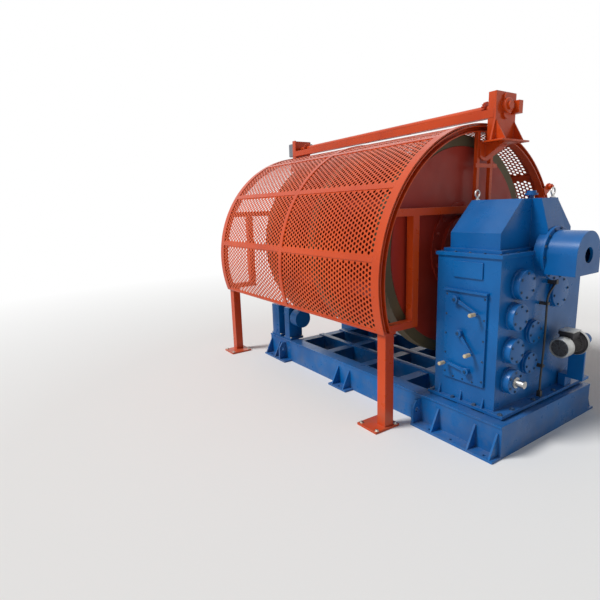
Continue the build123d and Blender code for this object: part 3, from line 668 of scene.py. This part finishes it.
# %% Bands and seam bars on the outside of the guard
bar_thickness, bar_gap, seam_half = 0.005, 0.0003, 0.020
bar_radius = guard_radius + (sheet_thickness + bar_thickness) / 2 + bar_gap
band_spans = ((far_face, far_face + band), middle_rib, (near_face - band, near_face))
bands = [curved_plate(x0, x1, *guard_angles, bar_radius, bar_thickness, 72) for x0, x1 in band_spans]
finish_piece(bands, "outer_bands", orange_enamel, "guard_bands", "guard")
seams = []
for index in range(5):
    middle = guard_angles[0] + index * panel_step
    low = max(middle - seam_half / bar_radius, guard_angles[0])
    high = min(middle + seam_half / bar_radius, guard_angles[1])
    for x0, x1 in guard_fields:
        seams.append(curved_plate(x0 + bar_gap, x1 - bar_gap, low, high, bar_radius, bar_thickness, 2))
finish_piece(seams, "outer_seam_bars", orange_enamel, "guard_seam_bars", "guard")

# %% Back shell
shell_radius, shell_margin, shell_inset, shell_edge = 1.0785, 0.026, 0.0603, 0.05
shell_ends = (far_face + shell_inset, near_face - shell_inset)
shell_field = (shell_ends[0] + shell_edge, shell_ends[1] - shell_edge)
shell_steps = [radians(a) for a in (-18.0, 16.0, 42.0, 66.0, 85.0)]
for index, (low, high) in enumerate(zip(shell_steps, shell_steps[1:])):
    perforated_sheet(
        f"back_sheet_{index + 1}", (shell_field,), shell_ends,
        low, high, shell_margin, shell_radius, "frame", "back_shell",
    )

# %% [markdown]
# ## Turned covers and blocks
# The round covers on the gearbox are turned on a lathe: a thin flange, and a lid nearly as wide
# with a rounded edge. Such a body is a profile turned round an axis, and the profile of a closed
# ring comes back to its start. The blocks have rounded edges.


# %% Turned bodies
def turned_rows(profile, axis_point, axis, count):
    """Points on circles about an axis, a circle for each (radius, distance along it) pair."""
    along = Vector(axis)
    side = along.orthogonal().normalized()
    other = along.cross(side)
    return [
        Vector(axis_point) + along * distance + side * u + other * v
        for radius, distance in profile for u, v in circle_points(radius, count)
    ]


def turned_body(profile, axis_point, axis, count=48):
    """A closed body of revolution from (radius, distance along the axis) pairs."""
    first, last = (Vector(axis_point) + Vector(axis) * profile[k][1] for k in (0, -1))
    points = [first] + turned_rows(profile, axis_point, axis, count) + [last]
    rows = range(1, len(points) - 1, count)
    faces = [face for a, b in zip(rows, rows[1:]) for face in quads(a, b, count)]
    for i in range(count):
        j = (i + 1) % count
        faces += [(0, 1 + j, 1 + i), (len(points) - 1, rows[-1] + i, rows[-1] + j)]
    return closed_mesh("turned", points, faces)


def turned_ring(profile, axis_point, axis, count=48):
    """A closed ring: its profile goes round and comes back to its start."""
    points = turned_rows(profile, axis_point, axis, count)
    rows = range(0, len(points), count)
    faces = [face for a, b in zip(rows, [*rows[1:], 0]) for face in quads(a, b, count)]
    return closed_mesh("ring", points, faces)


def block(x0, x1, y0, y1, z0, z1, bevel=0.004):
    """A rounded block by its corner values."""
    points = [(x, y, z) for x in (x0, x1) for y in (y0, y1) for z in (z0, z1)]
    faces = [(0, 1, 3, 2), (4, 6, 7, 5), (0, 4, 5, 1), (2, 3, 7, 6), (0, 2, 6, 4), (1, 5, 7, 3)]
    return reworked(closed_mesh("block", points, faces), lambda work: bmesh.ops.bevel(
        work, geom=list(work.edges), offset=bevel, segments=2, affect="EDGES", profile=0.6,
    ))


# %% Bearing covers and the main ring
case_face, shaft_z = 0.208, 1.240
along_x, along_y, upwards = (1, 0, 0), (0, 1, 0), (0, 0, 1)
covers = (
    (-0.296, 1.061, 0.100, 0.057), (-0.347, 0.862, 0.092, 0.057), (-0.364, 0.641, 0.088, 0.057),
    (-0.364, 0.436, 0.086, 0.057), (0.171, 0.958, 0.110, 0.032), (-0.116, 0.722, 0.084, 0.032),
    (-0.142, 0.509, 0.080, 0.032),
)
flange, step, lid_round, edge = 0.014, 0.004, 0.005, 0.001
cover_parts = []
for y, z, radius, out in covers:
    lid_radius = radius - step
    profile = [
        (radius - edge, 0.0003), (radius, edge), (radius, flange - edge), (radius - edge, flange),
        (lid_radius, flange),
    ]
    for k in range(5):
        bend = radians(22.5 * k)
        lid_edge = lid_radius - lid_round * (1 - cos(bend))
        profile.append((lid_edge, out - lid_round * (1 - sin(bend))))
    cover_parts.append(turned_body(profile, (case_face, y, z), along_x, 56))
ring_x, ring_thick = 0.2623, 0.020
ring_profile = [
    (0.101, 0.0), (0.1745, 0.0), (0.176, 0.0015), (0.176, 0.0185), (0.1745, ring_thick), (0.101, ring_thick),
]
cover_parts.append(turned_ring(ring_profile, (ring_x, 0.0, shaft_z), along_x, 72))
finish_piece(cover_parts, "turned_covers", blue_enamel, "bearing_covers")

# %% Long beams of the ladder
long_beams = [block(-2.0945, -0.3305, y - 0.030, y + 0.030, 0.060, 0.2195, 0.003) for y in (-0.170, 0.110)]
finish_piece(long_beams, "ladder_long_beams", blue_enamel)

# %% [markdown]
# ## Crown shelves and pedestals
# The lift's shaft runs over the guard in two bearings. Each stands on a folded plate on a shelf
# that is bolted to the hoop's face, with a tapered apron and a rib under it. Such welded plates are
# prisms: an outline in one plane, given a thickness along the third axis. The two crowns differ
# only in how far the shelf reaches, so one function builds both.


# %% Plates from an outline
def prism(outline, shift):
    """A closed prism from an outline in space and the way to its other end."""
    count = len(outline)
    points = list(outline) + [tuple(a + b for a, b in zip(point, shift)) for point in outline]
    faces = [tuple(range(count)), tuple(range(2 * count - 1, count - 1, -1))]
    return closed_mesh("prism", points, faces + quads(0, count, count))


def plate_across(outline, x0, x1):
    """A plate whose outline lies in Y and Z, between two places along the machine."""
    return prism([(x0, y, z) for y, z in outline], (x1 - x0, 0, 0))


def plate_along(outline, y0, y1):
    """A plate whose outline lies in X and Z, between two places across the machine."""
    return prism([(x, y0, z) for x, z in outline], (0, y1 - y0, 0))


def flat_box(x0, x1, y0, y1, z0, z1):
    """A block with crisp edges, whose corner values may come in any order."""
    return block(*sorted((x0, x1)), *sorted((y0, y1)), *sorted((z0, z1)), 0.0012)


# %% Flange bearing
crown_y, bearing_y, bearing_z = 0.226, 0.220, 2.262


def flange_bearing(face, out):
    """A flange bearing: an oval plate and a domed housing."""
    y, z, away = bearing_y, bearing_z, (out, 0, 0)
    parts = [flat_box(face, face + out * 0.016, y - 0.040, y + 0.040, z - 0.050, z + 0.050)]
    lobe = [(0.039, 0.0), (0.040, 0.001), (0.040, 0.015), (0.039, 0.016)]
    for side in (-1, 1):
        parts.append(turned_body(lobe, (face, y, z + side * 0.050), away, 32))
    bends = [radians(15 * k) for k in range(7)]
    dome = [(0.055, 0.0)] + [(0.045 + 0.010 * cos(a), 0.024 + 0.010 * sin(a)) for a in bends]
    return parts + [turned_body(dome, (face, y, z), away)]


# %% Shelf and pedestal of one crown
shelf_top, shelf_low, shelf_y = 2.020, 1.884, (0.060, 0.400)
plate, wall = 0.012, 0.008
stand_half, stand_neck, stand_top, stand_out, stand_thick = 0.1235, 2.165, 2.360, 0.094, 0.014
stand_fold, gusset_reach, gusset_off = 0.050, 0.082, 0.112


def crown(x_open, out, reach):
    """The parts of one crown; out is the direction away from the machine's middle."""
    x0, x1 = x_open + out * bar_gap, x_open + out * reach
    face = x_open + out * stand_out
    back = face - out * stand_thick
    under, near_y, far_y = shelf_top - plate, *shelf_y
    apron = [
        (near_y, under), (near_y, shelf_low + 0.022), (near_y + 0.040, shelf_low),
        (near_y + 0.090, shelf_low), (far_y, under - 0.004), (far_y, under),
    ]
    rib = [(x0 + out * plate, shelf_low + 0.022), (x0 + out * plate, under), (x1 - out * plate, under)]
    left, right_side = crown_y - stand_half, crown_y + stand_half
    outline = [
        (near_y, shelf_top), (far_y, shelf_top), (right_side, stand_neck), (right_side, stand_top),
        (left, stand_top), (left, stand_neck),
    ]
    parts = [
        flat_box(x0, x1, near_y, far_y, under, shelf_top),
        plate_across(apron, x0, x0 + out * plate),
        flat_box(x0, x0 + out * plate, crown_y - 0.100, crown_y + 0.100, shelf_top, 2.100),
        plate_along(rib, near_y + 0.056, near_y + 0.064),
        plate_across(outline, back, face),
    ]
    for side, top in ((-1, stand_top), (1, 2.202)):
        y_out = crown_y + side * stand_half
        parts.append(flat_box(back, back - out * stand_fold, y_out, y_out - side * wall, shelf_top, top))
    if stand_out + gusset_reach < reach:
        gusset = [(face, shelf_top), (face, stand_neck), (face + out * gusset_reach, shelf_top)]
        for y in (crown_y - gusset_off, crown_y + gusset_off):
            parts.append(plate_along(gusset, y - wall / 2, y + wall / 2))
    return parts + flange_bearing(face, out)


crown_parts = crown(near_face, 1, 0.187) + crown(far_face, -1, 0.106)
finish_piece(crown_parts, "crown_pedestals", orange_enamel, "lift_pedestals")

# %% [markdown]
# ## Roller stands and lever hubs
# The rotor's last rim runs on two rollers, each between a pair of welded stands: a foot plate, an
# upright box with a flat top, and a cap over the axle's end. They are blocks and a turned cap.
# The gear levers have a thick boss with the end of the shifting shaft in it, turned as well.

# %% Stands with flat tops
axle_y, axle_z, stand_wide = 0.500, 0.4614, 0.080
foot_low, foot_top, foot_out, stand_flat = 0.2203, 0.242, 0.020, 0.561
stand_spans = ((-2.440, -2.300), (-2.190, -2.100))
cap = [(0.050, 0.0), (0.052, 0.002), (0.052, 0.008), (0.049, 0.010)]
stand_parts = []
for side in (-1, 1):
    y = side * axle_y
    across = (y - stand_wide, y + stand_wide)
    for x0, x1 in stand_spans:
        stand_parts.append(block(x0, x1, *across, foot_top - 0.004, stand_flat))
        stand_parts.append(block(x0 - foot_out, x1 + foot_out, *across, foot_low, foot_top, 0.002))
    stand_parts.append(turned_body(cap, (stand_spans[0][0], y, axle_z), (-1, 0, 0), 40))
finish_piece(stand_parts, "roller_stand_boxes", blue_enamel, "roller_stands")

# %% Lever hubs and shaft ends
hub_length = 0.026
hub_face = max(v.co.y for v in nodes["top_lever"].data.vertices) - hub_length
boss = [(0.024, 0.0), (0.026, 0.002), (0.026, 0.009), (0.023, 0.012)]
shaft_end = [(0.011, 0.011), (0.011, 0.016), (0.010, 0.017)]
for place, x, z in (("top", -0.087, 0.955), ("middle", -0.051, 0.730), ("low", 0.016, 0.479)):
    for part, profile, finish, sides in (
        ("boss", boss, blue_enamel, 40), ("shaft_end", shaft_end, bolt_enamel, 32),
    ):
        turned = turned_body(profile, (x, hub_face, z), (0, -1, 0), sides)
        finish_piece(turned, f"{place}_lever_{part}", finish, body="lever_" + place)

# %% [markdown]
# ## Screws
# Covers, flanges and feet are held by hexagon screws with washers. They all look alike, so one
# screw is modelled and a tree sets it on points. Each point carries the direction in which its
# screw looks, and the tree turns the screw to it, with a small seeded turn of the head.


# %% One screw
def hex_screw():
    """A hexagon head with a corner radius of one metre, on a washer, looking up."""
    rings = [(1.35, 0.0, 16), (1.35, 0.18, 16), (1.0, 0.18, 6), (1.0, 0.82, 6), (0.82, 0.92, 6)]
    points = [(x, y, z) for radius, z, count in rings for x, y in circle_points(radius, count)]
    starts = [sum(ring[2] for ring in rings[:i]) for i in range(len(rings))]
    faces = [face for k in (0, 2, 3) for face in quads(*starts[k:k + 2], rings[k][2])]
    flats = (reversed(range(starts[1])), range(starts[1], starts[2]), range(starts[4], len(points)))
    faces += [tuple(flat) for flat in flats]
    return plain_mesh("screw", points, faces)


# %% Geometry Nodes for screws on points
screw_tree, screw_keys, screw_inputs = new_tree(
    "screws_on_points", (("Screw", "Object"), ("Size", "Float"), ("Seed", "Int"), ("Finish", "Material")),
)
look = add_node(screw_tree, "GeometryNodeInputNamedAttribute", data_type="FLOAT_VECTOR", Name="look")
aim = add_node(screw_tree, "FunctionNodeAlignRotationToVector", {
    "Vector": look.outputs["Attribute"],
}, axis="Z")
loose = add_node(screw_tree, "FunctionNodeRandomValue", {
    2: 0.0, 3: pi / 3, "Seed": screw_inputs["Seed"],
}, data_type="FLOAT").outputs[1]
head_turn = add_node(screw_tree, "FunctionNodeAxisAngleToRotation", {"Axis": upwards, "Angle": loose})
turned = add_node(screw_tree, "FunctionNodeRotateRotation", {
    "Rotation": aim.outputs[0], "Rotate By": head_turn.outputs[0],
}, rotation_space="LOCAL")
set_out = on_points(
    screw_tree, screw_inputs["Geometry"], screw_inputs["Screw"],
    Rotation=turned.outputs[0], Scale=screw_inputs["Size"],
)
end_tree(screw_tree, set_out, screw_inputs["Finish"])


def set_screws(name, spots, size, finish, seed, body="frame"):
    """One piece with a screw on each spot; a spot is a place and a direction."""
    cloud = plain_mesh(name, [place for place, _ in spots], [])
    directions = cloud.attributes.new("look", "FLOAT_VECTOR", "POINT")
    for item, (_, direction) in zip(directions.data, spots):
        item.vector = direction
    values = {"Screw": hex_screw(), "Size": size, "Seed": seed, "Finish": finish}
    finish_piece(grown(screw_tree, screw_keys, values, cloud), name, finish, body=body)


# %% [markdown]
# The spots follow the parts: circles on the round covers, lines along the flanges, corners on the
# plates. Small functions give the places, so that a screw never drifts from its cover.


# %% Places of the screws on the gearbox
def circle_spots(x, y, z, radius, count, phase=0.0):
    """Screws on a circle that looks along +X."""
    return [((x, y + u, z + v), along_x) for u, v in circle_points(radius, count, phase)]


def line_spots(start, end, count, direction):
    """Screws on a line, ends included."""
    a, b = Vector(start), Vector(end)
    return [(a.lerp(b, i / (count - 1)), direction) for i in range(count)]


gear_spots = []
screw_inset, split_top, plate_y = 0.022, 1.263, -0.5155
for y, z, radius, out in covers:
    gear_spots += circle_spots(case_face + out, y, z, radius - screw_inset, 6, 0.5 if y < -0.2 else 0.2)
gear_spots += circle_spots(ring_x + ring_thick, 0, shaft_z, 0.163, 14, 0.1)
for y in (-0.484, 0.484):
    gear_spots += line_spots((-0.245, y, split_top), (0.19, y, split_top), 5, upwards)
for side in (-1, 1):
    gear_spots += line_spots((0.194, side * 0.42, split_top), (0.194, side * 0.19, split_top), 3, upwards)
set_screws("gearbox_screws", gear_spots, 0.0072, bolt_enamel, 3)
plate_spots = []
for x0, x1, z0, z1, count in (
    (-0.170, -0.170, 0.43, 0.98, 5), (0.118, 0.118, 0.43, 0.98, 5), (-0.10, 0.05, 0.408, 0.408, 3),
):
    plate_spots += line_spots((x0, plate_y, z0), (x1, plate_y, z1), count, (0, -1, 0))
set_screws("cover_plate_screws", plate_spots, 0.0055, bolt_enamel, 4)

# %% Screws of the base, the posts and the rotor
sole_top, post_foot_top = 0.252, 0.016
foot_spots = [((x, y, sole_top), upwards) for x in (-0.275, -0.10, 0.07, 0.26) for y in (-0.512, 0.512)]
foot_spots += [((0.262, y, sole_top), upwards) for y in (-0.38, -0.13, 0.13)]
set_screws("sole_bolts", foot_spots, 0.0125, bolt_enamel, 5)
post_spots = []
for x_open, inward in ((near_face, -1), (far_face, 1)):
    for side in (-1, 1):
        x, y = x_open + inward * 0.052, hoop_centre[0] + side * 0.977
        xs = (x + inward * 0.121, x - inward * 0.039)
        ys = (y + side * 0.120, y - side * 0.064)
        post_spots += [((px, py, post_foot_top), upwards) for px in xs for py in ys]
set_screws("post_anchor_bolts", post_spots, 0.012, zinc, 6)
hub_spots = circle_spots(-0.4467, 0, shaft_z, 0.310, 16)
set_screws("hub_screws", hub_spots, 0.013, shaded_rotor_enamel, 7, "rotor")
stand_spots = [
    ((x, side * axle_y + off, foot_top), upwards)
    for x in (-2.450, -2.290, -2.200, -2.090) for side in (-1, 1) for off in (-0.068, 0.068)
]
set_screws("stand_bolts", stand_spots, 0.009, zinc, 8)

# %% [markdown]
# ## Pump motor
# The small motor of the oil pump is a finned body with a pressed fan cover at the front, a bell
# with a bright rim at the back and a terminal box on top. The fins are one plate that a tree repeats
# round the axis, and the fan cover's grille is rings and spokes of wire before a dark disc of
# painted shade, in place of the fan and the inside of the cover, which lie in shade.

# %% Geometry Nodes for parts round an axis
round_tree, round_keys, round_inputs = new_tree("parts_round_an_axis", (
    ("Part", "Object"), ("Count", "Int"), ("Radius", "Float"), ("Lay over", "Rotation"),
    ("Centre", "Vector"), ("Finish", "Material"),
))
circle = add_node(round_tree, "GeometryNodeMeshCircle", {
    "Vertices": round_inputs["Count"], "Radius": round_inputs["Radius"],
})
circle_place = add_node(round_tree, "GeometryNodeInputPosition").outputs[0]
outwards = add_node(round_tree, "FunctionNodeAlignRotationToVector", {"Vector": circle_place}, axis="X")
round_parts = on_points(round_tree, circle.outputs[0], round_inputs["Part"], Rotation=outwards.outputs[0])
move = add_node(round_tree, "GeometryNodeTransform", {
    "Geometry": round_parts, "Translation": round_inputs["Centre"], "Rotation": round_inputs["Lay over"],
})
end_tree(round_tree, move.outputs[0], round_inputs["Finish"])


def ring_of(part, count, radius, centre, finish):
    """A plain mesh of parts round an axis along Y through a centre."""
    return grown(round_tree, round_keys, {
        "Part": part, "Count": count, "Radius": radius,
        "Lay over": (radians(90), 0.0, 0.0), "Centre": centre, "Finish": finish,
    })


# %% Pump motor: finned body and terminal box
motor_x, motor_z, motor_y0 = 0.330, 0.602, 0.020
axis_start = (motor_x, motor_y0, motor_z)
bell_profile = [
    (0.056, 0.188), (0.062, 0.190), (0.066, 0.194), (0.066, 0.214), (0.070, 0.218), (0.0835, 0.219),
    (0.0835, 0.2415),
]
bell = turned_body(bell_profile, axis_start, along_y)
core = turned_body([(0.052, 0.060), (0.055, 0.064), (0.055, 0.196), (0.052, 0.198)], axis_start, along_y)
fin = block(-0.005, 0.008, -0.0012, 0.0012, -0.058, 0.058, 0.0006)
fins = ring_of(fin, 34, 0.0545, (motor_x, motor_y0 + 0.132, motor_z), motor_enamel)
box_body = block(0.2805, 0.3695, 0.1125, 0.2095, 0.649, 0.698)
gland_profile = [(0.010, 0), (0.012, 0.002), (0.012, 0.022), (0.009, 0.024)]
gland = turned_body(gland_profile, (0.282, 0.150, 0.675), (-1, 0, 0), 12)
motor_parts = [core, fins, box_body, gland, bell]
finish_piece(motor_parts, "pump_motor_body", motor_enamel, "oil_pump_motor")

# %% Pump motor: bright covers
fan_profile = [
    (0.058, 0.012), (0.058, 0.001), (0.062, 0.0004), (0.067, 0.003), (0.070, 0.010), (0.070, 0.070),
    (0.066, 0.072), (0.056, 0.066),
]
rim_profile = [(0.0836, 0.2175), (0.0865, 0.2165), (0.088, 0.219)]
rim_profile += [(0.088, 0.239), (0.0865, 0.2418), (0.0836, 0.2418)]
fan_cover = turned_body(fan_profile, axis_start, along_y)
bell_rim = turned_ring(rim_profile, axis_start, along_y)
lid = block(0.2745, 0.3755, 0.1065, 0.2155, 0.6982, 0.7078, 0.003)
# These covers' alloy is darkened as painted shade.
finish_piece([fan_cover, bell_rim, lid], "pump_motor_covers", shaded_cast_alloy, "oil_pump_motor")

# %% Pump motor: fan grille
# Painted shade: a dark disc in place of the fan and the inside of the cover, which lie in shade.
fan_shade_disc = turned_body([(0.0578, 0.0100), (0.0578, 0.0112)], axis_start, along_y)
finish_piece(fan_shade_disc, "motor_fan_dark", shade_disc_metal, "oil_pump_motor")
wire_profile = [(0.0, 0.0030), (0.0013, 0.0018), (0.0026, 0.0030), (0.0013, 0.0044)]
wires = []
for radius in (0.010, 0.020, 0.030, 0.040, 0.050):
    wires.append(turned_ring([(radius + u, v) for u, v in wire_profile], axis_start, along_y, 32))
spoke = block(-0.0245, 0.0245, -0.0012, 0.0012, -0.0012, 0.0012, 0.0004)
wires.append(ring_of(spoke, 8, 0.0330, (motor_x, motor_y0 + 0.0056, motor_z), grey_enamel))
finish_piece(wires, "motor_fan_grille", grey_enamel, "oil_pump_motor")

# %% [markdown]
# ## Gear motor of the lift
# The gear motor at the far end is a small worm box with a finned motor. The box stays as it is, and
# the fins go round its motor with the same tree.

# %% Fins on the lift's motor
lift_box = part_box("lift_gear_motor")
reducer_middle = (lift_box[0][0] + lift_box[1][0]) / 2
lift_motor_y, lift_motor_z, lift_motor_radius = 0.295 + 0.086, 2.298, 0.048
lift_fin = block(-0.004, 0.006, -0.0011, 0.0011, -0.066, 0.066, 0.0005)
lift_motor_middle = (reducer_middle, lift_motor_y, lift_motor_z)
lift_fins = ring_of(lift_fin, 26, lift_motor_radius, lift_motor_middle, grey_enamel)
finish_piece(lift_fins, "lift_motor_fins", grey_enamel)
print("middle of the lift's gear motor", round(reducer_middle, 4))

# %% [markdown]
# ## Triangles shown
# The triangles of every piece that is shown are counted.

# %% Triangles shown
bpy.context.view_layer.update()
shown = [o for o in scene.objects if o.type == "MESH" and not o.hide_render]
print("triangles shown", sum(triangles(o) for o in shown))
